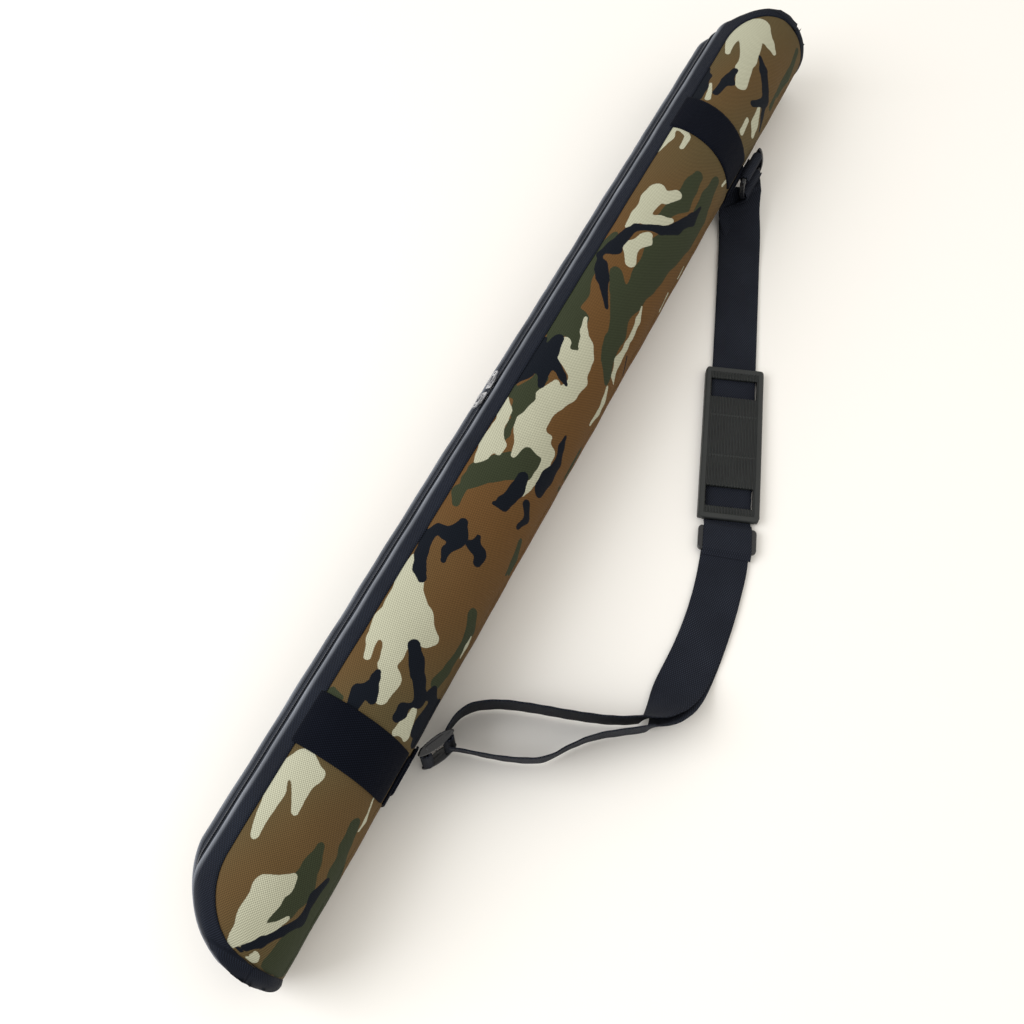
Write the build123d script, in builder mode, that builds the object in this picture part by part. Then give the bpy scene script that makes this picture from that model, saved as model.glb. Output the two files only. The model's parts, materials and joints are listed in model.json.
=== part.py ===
from build123d import *
import math
import os

# A soft-sided rod case: a tube of padded cloth, 1 m long, that opens as a clamshell. A zip runs
# along one long side and round both ends, and the opposite side is a cloth hinge. A shoulder strap
# with a sliding pad hangs from a plastic ring at each webbing band.
# X runs along the case, +Y points to the side with the zip, +Z is up. The case lies on its back
# panel on the plane z = 0, and X = 0, Y = 0 is the middle of its footprint without the strap.
# Lengths are in millimetres.

os.makedirs("parts", exist_ok=True)

# ---------------------------------------------------------------- driving dimensions
LENGTH = 1000.0
RADIUS = 50.0
REST_FLAT = 1.2  # how far the round bottom is pressed flat by its own weight
CORNER = 76.0  # rounding of the panel's outline on the zip side
CORNER_EASE = 0.5  # the rounded outline starts this far outside the tube wall

COVER = 1.2  # outer cloth
FOAM = 4.6  # stiff foam between cover and lining
LINING = 0.8
BAND = 1.4  # thickness of the webbing bands sewn round the case
WEBBING = 40.0  # width of the strap and of the bands
STRAP = 1.5  # thickness of the strap

ZIP_ANGLE = 40.0  # where the zip lies on the round section, from +Y towards +Z
HINGE_ANGLE = 175.0  # where the cloth hinge lies
RIM_GAP = 0.25  # from the parting plane to each half's rim

SLIDER_X = (-16.5, -34.0)
BAND_X = {"upper": 313.0, "lower": -335.0}

AXIS_Z = RADIUS - REST_FLAT
PANEL_ANGLE = (ZIP_ANGLE + HINGE_ANGLE) / 2 - 90
PARTING = RADIUS * math.sin(math.radians(ZIP_ANGLE - PANEL_ANGLE))
WALL = COVER + FOAM + LINING


def direction(angle):
    """Unit vector across the case, angle in degrees from +Y towards +Z."""
    return Vector(0, math.cos(math.radians(angle)), math.sin(math.radians(angle)))


def around(angle, radius):
    """Point of the middle section at this angle and distance from the case's long axis."""
    return Vector(0, 0, AXIS_Z) + direction(angle) * radius


# The panel plane holds the long axis and lies parallel to the parting plane: its x is +X, its y
# points to the zip side and its normal out of the front panel.
panel = Plane(origin=(0, 0, AXIS_Z), x_dir=(1, 0, 0), z_dir=direction(PANEL_ANGLE + 90))


def finish(part, name):
    part.label = name
    export_step(part, f"parts/{name}.step")
    return part


# ---------------------------------------------------------------- the padded body
def body(inset):
    """The whole case as one solid, inset from its outside."""
    half = LENGTH / 2 - inset
    side = RADIUS + CORNER_EASE - inset
    across = Plane(origin=(-half, 0, AXIS_Z), x_dir=(0, 1, 0), z_dir=(1, 0, 0))
    with BuildPart() as whole:
        with BuildSketch(across):
            Circle(RADIUS - inset)
        extrude(amount=2 * half)
        with BuildSketch(panel.offset(-2 * RADIUS)) as outline:
            with Locations((0, side / 2 - RADIUS)):
                Rectangle(2 * half + 2 * CORNER_EASE, side + 2 * RADIUS)
            fillet(outline.vertices().group_by(Axis.Y)[-1], CORNER + CORNER_EASE - inset)
        extrude(amount=4 * RADIUS, mode=Mode.INTERSECT)
        with BuildSketch(Plane.XY.offset(inset)):
            Rectangle(2 * LENGTH, 4 * RADIUS)
        extrude(amount=-2 * RADIUS, mode=Mode.SUBTRACT)
    return whole.part


def slab(low, high, inner=-2 * RADIUS):
    """The space between two heights over the panel plane, from inner outwards past the zip."""
    with BuildPart() as space:
        with BuildSketch(panel.offset(low)):
            with Locations((0, (inner + 2 * RADIUS) / 2)):
                Rectangle(2 * LENGTH, 2 * RADIUS - inner)
        extrude(amount=high - low)
    return space.part


def window(side, end_margin, corner):
    """The prism that cuts the printed cloth out of a panel, leaving its black border."""
    with BuildPart() as prism:
        with BuildSketch(panel.offset(-2 * RADIUS)) as outline:
            with Locations((0, (side - 2 * RADIUS) / 2)):
                Rectangle(LENGTH - 2 * end_margin, side + 2 * RADIUS)
            fillet(outline.vertices().group_by(Axis.Y)[-1], corner)
        extrude(amount=4 * RADIUS)
    return prism.part


solid = {d: body(d) for d in (0.0, 0.5, COVER, COVER + 0.6, 2.1, 4.8, COVER + FOAM, WALL)}
cover_layer = solid[0.0] - solid[COVER]
tape_layer = solid[COVER] - solid[COVER + 0.6]
coil_layer = solid[0.5] - solid[2.1]
channel_layer = solid[COVER] - solid[4.8]
foam_layer = solid[COVER] - solid[COVER + FOAM]
lining_layer = solid[COVER + FOAM] - solid[WALL]

# The zip lies in a gap between the two borders. Heights are over the panel plane.
FRONT_FOLD = 25.75
BACK_FOLD = 12.1
ZIP_START = -35.0  # where the chain ends on the end walls, towards the hinge
front_space = slab(PARTING + RIM_GAP, 3 * RADIUS)
back_space = slab(-3 * RADIUS, PARTING - RIM_GAP)
zip_gap = slab(BACK_FOLD, FRONT_FOLD, ZIP_START - 3)
tape_rebate = slab(9.0, 29.0, ZIP_START - 5)
channel = slab(12.4, 24.0, ZIP_START - 4)
front_window = window(side=30.4, end_margin=11.0, corner=54.0)
back_window = window(side=46.5, end_margin=11.0, corner=60.0)

# Under the pressed flat each band sinks into the cover, so that both rest on the floor.
SINK_HALF = math.sqrt(RADIUS**2 - AXIS_Z**2) + 3
with BuildPart() as sunk:
    with BuildSketch(Plane.XY):
        with Locations(*[(x, 0) for x in BAND_X.values()]):
            Rectangle(WEBBING, 2 * SINK_HALF)
    extrude(amount=COVER)


def piece(name, layer, keep, cut=(), only=()):
    """One layer of the wall inside a space, less what is cut out of it."""
    with BuildPart() as made:
        add(layer)
        for space in (keep, *only):
            add(space, mode=Mode.INTERSECT)
        for space in cut:
            add(space, mode=Mode.SUBTRACT)
    return finish(made.part, name)


lid_cover = piece("lid_cover", cover_layer, front_space, only=[front_window])
lid_border = piece("lid_border", cover_layer, front_space, cut=[front_window, zip_gap])
lid_shell = piece("lid_shell", foam_layer, front_space, cut=[tape_layer & tape_rebate, channel_layer & channel])
lid_lining = piece("lid_lining", lining_layer, front_space)
back_cover = piece("back_cover", cover_layer, back_space, cut=[zip_gap, sunk.part], only=[back_window])
back_border = piece("back_border", cover_layer, back_space, cut=[back_window, zip_gap])
back_shell = piece("back_shell", foam_layer, back_space, cut=[tape_layer & tape_rebate, channel_layer & channel])
back_lining = piece("back_lining", lining_layer, back_space)

COIL_IN, COIL_OUT = 0.47, 1.57  # the coil rows, from the parting plane
lid_zip_tape = piece("lid_zip_tape", tape_layer, slab(PARTING + COIL_OUT, 29.0, ZIP_START - 5))
back_zip_tape = piece("back_zip_tape", tape_layer, slab(9.0, PARTING - COIL_OUT, ZIP_START - 5))
lid_zip_coil = piece("lid_zip_coil", coil_layer, slab(PARTING + COIL_IN, PARTING + COIL_OUT, ZIP_START))
back_zip_coil = piece("back_zip_coil", coil_layer, slab(PARTING - COIL_OUT, PARTING - COIL_IN, ZIP_START))

with BuildPart() as zip_stops:
    for side in (-1, 1):
        with BuildSketch(Plane.YZ.offset(side * (LENGTH / 2 - COVER))):
            with BuildLine():
                corners = [
                    Vector(0, 0, AXIS_Z) + direction(PANEL_ANGLE) * s + direction(PANEL_ANGLE + 90) * n
                    for s, n in ((-37.8, 16.6), (-35.2, 16.6), (-35.2, 18.6), (-37.8, 18.6))
                ]
                Polyline(*[(c.Y, c.Z) for c in corners], close=True)
            make_face()
        extrude(amount=side * 1.6)
finish(zip_stops.part, "zip_stops")


# ---------------------------------------------------------------- cloth hinge and bands
def arc_strip(inner, outer, start, end, x_from, x_to):
    """A strip that follows the round wall, between two radii and two angles."""
    with BuildPart() as strip:
        with BuildSketch(Plane.YZ.offset(x_from)):
            with BuildLine():
                low = CenterArc((0, AXIS_Z), inner, start, end - start)
                high = CenterArc((0, AXIS_Z), outer, start, end - start)
                Line(low @ 0, high @ 0)
                Line(low @ 1, high @ 1)
            make_face()
        extrude(amount=x_to - x_from)
    return strip.part


finish(
    arc_strip(RADIUS - WALL - 0.9, RADIUS - WALL - 0.1, HINGE_ANGLE + 1.5, HINGE_ANGLE + 15, -470, 470),
    "spine_tape",
)

BAND_CLEAR = 3.5  # degrees left free each side of the hinge, so that the bands fold
for name, x in BAND_X.items():
    ends = (x - WEBBING / 2, x + WEBBING / 2)
    front = arc_strip(RADIUS, RADIUS + BAND, 68, HINGE_ANGLE - BAND_CLEAR, *ends)
    finish(front, f"{name}_band_front")
    with BuildPart() as back:
        add(arc_strip(RADIUS, RADIUS + BAND, HINGE_ANGLE + BAND_CLEAR, 352, *ends))
        with BuildSketch(Plane.XY):
            with Locations((x, 0)):
                Rectangle(WEBBING, 2 * SINK_HALF)
        extrude(amount=COVER)
        with BuildSketch(Plane.XY):
            Rectangle(2 * LENGTH, 4 * RADIUS)
        extrude(amount=-RADIUS, mode=Mode.SUBTRACT)
    finish(back.part, f"{name}_band_back")

# ---------------------------------------------------------------- zip sliders and pulls
SLIDER_LENGTH, SLIDER_WIDTH, PLATE = 13.0, 7.0, 1.2
PLATE_LOW, PLATE_HIGH = RADIUS - 4.1, RADIUS + 0.7
BAIL_HEIGHT, BAIL_LENGTH, BAIL_WIDTH = 2.7, 6.8, 1.6
PULL_BAR, PULL_LENGTH, PULL_WIDTH = 1.2, 12.0, 5.8
PULL_RISE = PLATE_HIGH + PLATE + 0.85


def zip_plane(x, radius, facing):
    """Plane on the zip line: x along the case in the slider's direction, normal outwards."""
    at = around(ZIP_ANGLE, radius) + Vector(x, 0, 0)
    return Plane(origin=at, x_dir=(facing, 0, 0), z_dir=direction(ZIP_ANGLE))


def plate_outline():
    """Slider plate: wide at the nose, narrow at the tail."""
    nose, tail = SLIDER_WIDTH / 2, SLIDER_WIDTH / 2 - 1
    half = SLIDER_LENGTH / 2
    with BuildSketch(mode=Mode.PRIVATE) as outline:
        with BuildLine():
            Polyline((-half, -nose), (0, -nose), (half, -tail), (half, tail), (0, nose), (-half, nose), close=True)
        make_face()
        fillet(outline.vertices(), 1.2)
    return outline.sketch


def slider(x, facing):
    with BuildPart() as made:
        for radius in (PLATE_LOW, PLATE_HIGH):
            with BuildSketch(zip_plane(x, radius, facing)):
                add(plate_outline())
            extrude(amount=PLATE)
        fillet(made.faces().sort_by(Axis(around(ZIP_ANGLE, 0), direction(ZIP_ANGLE)))[-1].edges(), 0.4)
        with BuildSketch(panel.offset(PARTING - 0.2)):
            with Locations((x - facing * 3.0, 45.0)):
                Rectangle(4.0, 5.2)
        extrude(amount=0.4)
        with BuildSketch(zip_plane(x, PLATE_HIGH + PLATE - 0.1, facing)):
            Rectangle(BAIL_LENGTH, BAIL_WIDTH)
        extrude(amount=BAIL_HEIGHT + 0.1)
        with BuildSketch(zip_plane(x, PLATE_HIGH + PLATE, facing)):
            Rectangle(BAIL_LENGTH - 1.8, 2 * BAIL_WIDTH)
        extrude(amount=BAIL_HEIGHT - 0.9, mode=Mode.SUBTRACT)
    return made.part


def pull(x, facing):
    """Pull tab: a wire loop round the bail that widens into a plate with an eye."""
    with BuildPart() as made:
        with BuildSketch(zip_plane(x, PULL_RISE - PULL_BAR / 2, facing)):
            with Locations((PULL_LENGTH / 2 - PULL_BAR / 2, 0)):
                RectangleRounded(PULL_LENGTH, PULL_WIDTH, 1.4)
            with Locations((5.2 / 2 + PULL_BAR / 2, 0)):
                Rectangle(5.2, PULL_WIDTH - 2.4, mode=Mode.SUBTRACT)
            with Locations((PULL_LENGTH - 3.0, 0)):
                Circle(1.1, mode=Mode.SUBTRACT)
        extrude(amount=PULL_BAR)
    return made.part


for name, x, facing in (("upper", SLIDER_X[0], 1), ("lower", SLIDER_X[1], -1)):
    finish(slider(x, facing), f"{name}_slider")
    finish(pull(x, facing), f"{name}_pull")

# ---------------------------------------------------------------- strap rings and their tabs
RING_WIDE, RING_TALL, RING_THICK = 26.0, 46.6, 5.0
RING_BAR, RING_END = 5.0, 3.0
RING_LOW = 0.3
LOOP_IN, LOOP_OUT = 3.6, 4.9
LOOP_LOW, LOOP_HIGH = 6.0, 41.2
LOOP_HALF = (LOOP_HIGH - LOOP_LOW) / 2
RING_MIDDLE = RING_LOW + RING_TALL / 2

# Middle of each ring's inner bar, the way its bars point, and the way from the inner bar to the
# outer bar. The upper ring hangs down the side of the case, and the lower ring stands upright.
RINGS = {
    "upper": (Vector(340, -57.1, 43.6), Vector(1, 0, 0), Vector(0, -1, 0).rotate(Axis.X, 82)),
    "lower": (Vector(-306, -57.6, RING_MIDDLE), Vector(0, 0, 1), Vector(1, 0, 0).rotate(Axis.Z, -25)),
}


def bar_loop(at, bar):
    """Webbing wrapped once round a ring's bar."""
    with BuildPart() as made:
        with BuildSketch(Plane(origin=at, z_dir=bar)):
            Circle(LOOP_OUT)
            Circle(LOOP_IN, mode=Mode.SUBTRACT)
        extrude(amount=LOOP_HALF, both=True)
    return made.part


for name, (at, bar, out) in RINGS.items():
    face = Plane(origin=at + out * (RING_WIDE - RING_BAR) / 2, x_dir=out, z_dir=out.cross(bar))
    with BuildPart() as ring:
        with BuildSketch(face):
            RectangleRounded(RING_WIDE, RING_TALL, 6.0)
            RectangleRounded(RING_WIDE - 2 * RING_BAR, RING_TALL - 2 * RING_END, 2.5, mode=Mode.SUBTRACT)
        extrude(amount=RING_THICK / 2, both=True)
        fillet(ring.edges().filter_by(Axis((0, 0, 0), bar)), 1.2)
    finish(ring.part, f"{name}_ring")
    finish(bar_loop(at + out * (RING_WIDE - RING_BAR), bar), f"{name}_strap_loop")
    with BuildPart() as tab:
        add(bar_loop(at, bar))
        x_low, x_high = BAND_X[name] - 10, at.X + (2 if name == "lower" else 8)
        add(arc_strip(RADIUS + BAND, RADIUS + 2 * BAND, 184, 222, x_low, x_high))
        if name == "lower":
            with BuildSketch(Plane.XY.offset(LOOP_HIGH - 6)):
                with Locations((at.X - 2, -52.4)):
                    Rectangle(5.0, 4.0)
            extrude(amount=6)
    finish(tab.part, f"{name}_ring_tab")

# ---------------------------------------------------------------- shoulder pad and adjuster
STRAP_LOW = 2.0
RETURN_LOW = 0.2
STRAP_HEADING = 200.4  # direction of the straight run from the upper ring to the adjuster, from +X
PAD_AT = (69.5, -156.8)
PAD_LENGTH, PAD_WIDTH, PAD_LOW, PAD_HIGH = 156.0, 53.0, 3.9, 8.9
SLOT_AT, SLOT_LONG, SLOT_WIDE = 56.0, 20.0, 43.0
RAIL = 5.6


def strap_plane(x, y, z):
    """Plane on the strap's straight run: x along it from the upper ring, normal up."""
    turn = math.radians(STRAP_HEADING)
    return Plane(origin=(x, y, z), x_dir=(math.cos(turn), math.sin(turn), 0), z_dir=(0, 0, 1))


with BuildPart() as shoulder_pad:
    with BuildSketch(strap_plane(*PAD_AT, PAD_LOW)):
        RectangleRounded(PAD_LENGTH, PAD_WIDTH, 5.0)
        with Locations((-SLOT_AT, 0), (SLOT_AT, 0)):
            RectangleRounded(SLOT_LONG, SLOT_WIDE, 2.0, mode=Mode.SUBTRACT)
    extrude(amount=PAD_HIGH - PAD_LOW)
    with BuildSketch(strap_plane(*PAD_AT, 0)):
        for side in (-1, 1):
            with Locations((0, side * (PAD_WIDTH - RAIL) / 2)):
                RectangleRounded(PAD_LENGTH - 4, RAIL, 2.0)
    extrude(amount=PAD_LOW)
    with BuildSketch(strap_plane(*PAD_AT, 0)):
        with Locations((-SLOT_AT + 14, 0), (SLOT_AT - 14, 0)):
            Rectangle(6.0, PAD_WIDTH - 2)
    extrude(amount=STRAP_LOW - 0.35)
finish(shoulder_pad.part, "shoulder_pad")

ADJUSTER_AT = (-20.6, -190.1)
ADJUSTER_LONG, ADJUSTER_WIDE, ADJUSTER_HIGH = 23.0, 50.0, 3.2
ADJUSTER_LOW = STRAP_LOW + STRAP + 0.3
with BuildPart() as adjuster:
    with BuildSketch(strap_plane(*ADJUSTER_AT, ADJUSTER_LOW)):
        RectangleRounded(ADJUSTER_LONG, ADJUSTER_WIDE, 3.5)
        with Locations((-5.0, 0), (5.0, 0)):
            RectangleRounded(5.4, 41.0, 1.2, mode=Mode.SUBTRACT)
    extrude(amount=ADJUSTER_HIGH)
    with BuildSketch(strap_plane(*ADJUSTER_AT, ADJUSTER_LOW + ADJUSTER_HIGH)):
        Rectangle(2 * 7.7, 41.0)
    extrude(amount=-1.8, mode=Mode.SUBTRACT)
    fillet(adjuster.faces().sort_by(Axis.Z)[-1].outer_wire().edges(), 1.2)
finish(adjuster.part, "adjuster")

# ---------------------------------------------------------------- shoulder strap
# The main run goes from the upper ring through the pad and the adjuster to the lower ring. The
# return run comes back from the lower ring and ends on the adjuster's middle bar. Both lie flat
# on the floor as far as the twist, and stand on edge near the lower ring.
EDGE_LOW = 3.4
DESCENT = [(340.0, -63.5, 17.6), (331.0, -62.5, 10.5), (314.0, -66.0, 5.6), (291.0, -74.2, 3.2), (262.0, -84.5, 2.75)]
DESCENT_TURNS = (0.0, 17.0, 36.0, 55.0, 69.5)  # the width's angle at each point, from +X towards -Y
MAIN_FLAT = [(262.0, -84.5), (163.5, -121.4), (-11.0, -186.3), (-52.0, -199.0), (-98.0, -206.5), (-148.0, -208.0)]
MAIN_EDGE = [
    (-196.0, -201.0),
    (-212.0, -176.0),
    (-223.0, -146.5),
    (-235.0, -107.0),
    (-244.0, -84.0),
    (-257.0, -66.0),
    (-275.0, -61.5),
]
RETURN_FLAT = [(-24.0, -190.6), (-52.0, -199.0), (-98.0, -206.5), (-151.5, -209.8)]
RETURN_EDGE = [
    (-200.5, -207.0),
    (-215.0, -187.0),
    (-231.0, -164.5),
    (-249.0, -149.5),
    (-266.0, -139.0),
    (-276.0, -119.0),
    (-283.5, -97.0),
    (-288.5, -77.5),
]


def radii(route):
    """Largest tangent arc at each corner of a route, 0.45 of the shorter run."""
    found = []
    for a, b, c in zip(route, route[1:], route[2:]):
        one, two = Vector(*b) - Vector(*a), Vector(*c) - Vector(*b)
        turn = math.radians(one.get_angle(two))
        found.append(0.45 * min(one.length, two.length) / math.tan(turn / 2))
    return found


def run(route, flat, low):
    """Webbing along a plan route, lying flat or standing on edge."""
    thick, tall = (WEBBING, STRAP) if flat else (STRAP, WEBBING)
    with BuildPart() as made:
        with BuildSketch(Plane.XY.offset(low)):
            with BuildLine() as line:
                FilletPolyline(*route, radius=radii(route))
            trace(line.line, thick)
        extrude(amount=tall)
    return made.part, sum(edge.length for edge in line.edges())


def twist(start, end, start_heading, end_heading, flat_first, low_flat):
    """Webbing that turns from flat to on edge between two points, as a ruled loft."""
    steps = 8
    lying = low_flat + STRAP / 2
    standing = EDGE_LOW + WEBBING / 2
    with BuildPart() as made:
        for i in range(steps + 1):
            share = i / steps
            heading = math.radians(start_heading + (end_heading - start_heading) * share)
            tilt = math.radians(90 * share if flat_first else 90 - 90 * share)
            along = Vector(math.cos(heading), math.sin(heading), 0)
            side = Vector(-math.sin(heading), math.cos(heading), 0)
            wide = side * math.cos(tilt) + Vector(0, 0, math.sin(tilt))
            at = Vector(*start, 0) + (Vector(*end, 0) - Vector(*start, 0)) * share
            at += Vector(0, 0, lying + (standing - lying) * math.sin(tilt))
            with BuildSketch(Plane(origin=at, x_dir=wide, z_dir=along)):
                Rectangle(WEBBING, STRAP)
        loft(ruled=True)
    return made.part


def descent():
    """Webbing that comes down from the upper ring's outer bar and swings into the flat run."""
    with BuildPart() as made:
        for i, (at, turn) in enumerate(zip(DESCENT, DESCENT_TURNS)):
            wide = Vector(1, 0, 0).rotate(Axis.Z, -turn)
            before, after = DESCENT[max(i - 1, 0)], DESCENT[min(i + 1, len(DESCENT) - 1)]
            along = Vector(*after) - Vector(*before)
            if i == len(DESCENT) - 1:
                along = Vector(0, -1, 0).rotate(Axis.Z, -turn)
            along = along - wide * along.dot(wide)
            with BuildSketch(Plane(origin=at, x_dir=wide, z_dir=along)):
                Rectangle(WEBBING, STRAP)
        loft(ruled=True)
    return made.part


def heading(a, b):
    return math.degrees(math.atan2(b[1] - a[1], b[0] - a[0])) % 360


descent_length = sum(math.dist(one, two) for one, two in zip(DESCENT, DESCENT[1:]))
flat, flat_length = run(MAIN_FLAT, True, STRAP_LOW)
last, last_length = run(MAIN_EDGE, False, EDGE_LOW)
with BuildPart() as strap_main:
    add(descent())
    add(flat)
    add(twist(MAIN_FLAT[-1], MAIN_EDGE[0], heading(*MAIN_FLAT[-2:]), heading(*MAIN_EDGE[:2]), True, STRAP_LOW))
    add(last)
finish(strap_main.part, "strap_main")

under, under_length = run(RETURN_FLAT, True, RETURN_LOW)
outer, outer_length = run(RETURN_EDGE, False, EDGE_LOW)
with BuildPart() as strap_return:
    add(under)
    add(
        twist(
            RETURN_FLAT[-1],
            RETURN_EDGE[0],
            heading(*RETURN_FLAT[-2:]),
            heading(*RETURN_EDGE[:2]),
            True,
            RETURN_LOW,
        )
    )
    add(outer)
finish(strap_return.part, "strap_return")


def report(name, made, lengths, ends, routes):
    """Compare a strap's volume with its section times its length along the middle."""
    total = sum(lengths) + sum(math.dist(a, b) for a, b in ends)
    print(name, "smallest radius", round(min(min(radii(route)) for route in routes)), "mm")
    print(name, "length", round(total), "mm, volume / section", round(made.volume / (WEBBING * STRAP)), "mm")


report(
    "strap_main",
    strap_main.part,
    (descent_length, flat_length, last_length),
    ((MAIN_FLAT[-1], MAIN_EDGE[0]),),
    (MAIN_FLAT, MAIN_EDGE),
)
report(
    "strap_return",
    strap_return.part,
    (under_length, outer_length),
    ((RETURN_FLAT[-1], RETURN_EDGE[0]),),
    (RETURN_FLAT, RETURN_EDGE),
)
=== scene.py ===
import json
import math

import bmesh
import bpy
import numpy as np
from mathutils import Matrix, Vector


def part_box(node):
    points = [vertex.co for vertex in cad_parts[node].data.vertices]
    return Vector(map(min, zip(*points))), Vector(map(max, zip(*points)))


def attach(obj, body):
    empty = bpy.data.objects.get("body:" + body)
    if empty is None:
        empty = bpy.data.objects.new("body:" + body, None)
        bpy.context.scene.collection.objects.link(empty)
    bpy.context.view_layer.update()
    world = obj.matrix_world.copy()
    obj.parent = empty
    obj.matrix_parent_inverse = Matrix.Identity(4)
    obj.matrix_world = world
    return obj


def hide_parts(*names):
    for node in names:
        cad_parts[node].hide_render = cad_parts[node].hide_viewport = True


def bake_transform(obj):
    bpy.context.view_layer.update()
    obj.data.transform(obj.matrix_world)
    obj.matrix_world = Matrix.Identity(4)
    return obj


# A soft-sided rod case in printed and black cloth. Lengths are in metres. X runs along the case,
# +Y points to the side with the zip and +Z is up. Angles round the case go from +Y towards +Z.

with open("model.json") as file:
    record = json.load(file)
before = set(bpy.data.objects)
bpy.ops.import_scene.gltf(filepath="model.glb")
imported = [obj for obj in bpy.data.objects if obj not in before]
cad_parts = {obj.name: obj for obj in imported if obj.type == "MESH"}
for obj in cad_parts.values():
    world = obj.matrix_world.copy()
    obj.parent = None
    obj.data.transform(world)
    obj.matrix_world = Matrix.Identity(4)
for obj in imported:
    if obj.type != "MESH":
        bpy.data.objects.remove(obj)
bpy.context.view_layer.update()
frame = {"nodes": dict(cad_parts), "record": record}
joints = {joint["name"]: joint for joint in frame["record"]["behaviour"]["joints"]}

# ---------- sizes
RADIUS = 0.05
HALF = 0.5
CORNER = 0.078
END_ROUND = 0.008
COVER, FOAM, LINING, BAND = 0.0012, 0.0046, 0.0008, 0.0014
ZIP_ANGLE, HINGE_ANGLE = math.radians(40), math.radians(175)
TILT = math.radians(17.5)
HINGE = Vector(joints["lid_hinge"]["pos_m"])
AXIS_Z = HINGE.z - RADIUS * math.sin(HINGE_ANGLE)
PARTING = RADIUS * math.sin(ZIP_ANGLE - TILT)
FRONT_FOLD, BACK_FOLD = 0.02575, 0.0121
ZIP_END = -0.035
WEB, WEB_THICK = 0.040, 0.0015
LEAST_ROUND = 0.0015
SIDE_SLACK = 0.0004
MOST_SOFTNESS = 0.010
RIM_CHANGE = (-0.044, -0.036)  # the rim goes from the hinge's height to the zip's between these
LEAST_BORDER = 0.004

# ---------- camera
camera = bpy.data.objects.new("camera", bpy.data.cameras.new("camera"))
bpy.context.scene.collection.objects.link(camera)
camera.data.sensor_width = 36
camera.data.lens = 38.67
heading, pitch = math.radians(27.59), math.radians(25.82)
camera.location = (-0.4506, -0.2070, 0.8639)
camera_right = Vector((math.sin(heading), -math.cos(heading), 0))
camera_ahead = Vector(
    (math.cos(heading) * math.sin(pitch), math.sin(heading) * math.sin(pitch), -math.cos(pitch))
)
camera_up = camera_right.cross(camera_ahead)
turn = np.array([camera_right, camera_up, -camera_ahead]).T
camera.rotation_mode = "QUATERNION"
camera.rotation_quaternion = Matrix(turn.tolist()).to_quaternion()
bpy.context.scene.camera = camera


# ---------- mesh helpers
def link(name, verts, faces, uv=None, smooth=True, attributes=None):
    """A mesh object from points and faces, with UVs per point, in metres."""
    mesh = bpy.data.meshes.new(name)
    points = [tuple(float(c) for c in v) for v in verts]
    mesh.from_pydata(points, [], [tuple(int(i) for i in f) for f in faces])
    mesh.update()
    if uv is not None:
        layer = mesh.uv_layers.new(name="cloth")
        at = np.zeros(len(mesh.loops), dtype=np.int64)
        mesh.loops.foreach_get("vertex_index", at)
        layer.data.foreach_set("uv", np.asarray(uv, dtype=np.float64)[at].ravel())
    for key, values in (attributes or {}).items():
        field = mesh.attributes.new(name=key, type="FLOAT", domain="POINT")
        field.data.foreach_set("value", np.asarray(values, dtype=np.float64))
    mesh.polygons.foreach_set("use_smooth", [smooth] * len(mesh.polygons))
    made = bpy.data.objects.new(name, mesh)
    bpy.context.scene.collection.objects.link(made)
    return made


# A cell's four sides: the step to the neighbour, and the side's two corners.
CELL_SIDES = (
    (-1, 0, (0, 1), (0, 0)),
    (1, 0, (1, 0), (1, 1)),
    (0, -1, (0, 0), (1, 0)),
    (0, 1, (1, 1), (0, 1)),
)


def slab_mesh(name, outer, inner, uv, mask=None, attributes=None):
    """A closed solid between two grids of points. mask says which cells are there, else all are."""
    rows, columns = outer.shape[:2]
    if mask is None:
        mask = np.ones((rows - 1, columns - 1), dtype=bool)
    used = -np.ones((rows, columns), dtype=int)
    corner = np.zeros((rows, columns), dtype=bool)
    corner[:-1, :-1] |= mask
    corner[1:, :-1] |= mask
    corner[:-1, 1:] |= mask
    corner[1:, 1:] |= mask
    used[corner] = np.arange(corner.sum())
    count = int(corner.sum())
    verts = np.concatenate([outer[corner], inner[corner]])
    texture = np.concatenate([uv[corner], uv[corner]])
    faces = []
    i, j = np.nonzero(mask)
    a, b, c, d = used[i, j], used[i + 1, j], used[i + 1, j + 1], used[i, j + 1]
    faces += list(zip(a, b, c, d))
    faces += list(zip(d + count, c + count, b + count, a + count))
    padded = np.pad(mask, 1)
    for di, dj, first, second in CELL_SIDES:
        neighbour = padded[1 + di : rows + di, 1 + dj : columns + dj]
        i, j = np.nonzero(mask & ~neighbour)
        p, q = used[i + first[0], j + first[1]], used[i + second[0], j + second[1]]
        faces += list(zip(q, p, p + count, q + count))
    spread = {key: np.concatenate([v[corner], v[corner]]) for key, v in (attributes or {}).items()}
    made = link(name, verts, faces, texture, attributes=spread)
    made.data.update()
    fix_normals(made)
    return made


def fix_normals(made):
    """Point every face outwards."""
    work = bmesh.new()
    work.from_mesh(made.data)
    bmesh.ops.recalc_face_normals(work, faces=work.faces)
    work.to_mesh(made.data)
    work.free()
    made.data.update()


def join(*parts):
    """Coordinates of any matching shapes, put together as points."""
    return np.stack(np.broadcast_arrays(*parts), axis=-1)


def run_along(points):
    """How far along a line each of its points is."""
    return np.concatenate([[0], np.cumsum(np.linalg.norm(np.diff(points, axis=0), axis=1))])


def wobble(x, v, size):
    """Slow unevenness of cloth over a padded wall."""
    return size * (
        np.sin(x * 61 + 1.3) * np.sin(v * 83 + 0.4)
        + 0.6 * np.sin(x * 143 + v * 97 + 2.1)
        + 0.5 * np.sin(x * 37 - v * 171 + 0.7)
    )


# ---------- the wall's shape
def soft_min(a, b, k):
    """The smaller of two numbers, with a rounded change over k."""
    h = np.maximum(k - np.abs(a - b), 0) / np.maximum(k, 1e-9)
    return np.minimum(a, b) - h * h * k / 4


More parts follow.
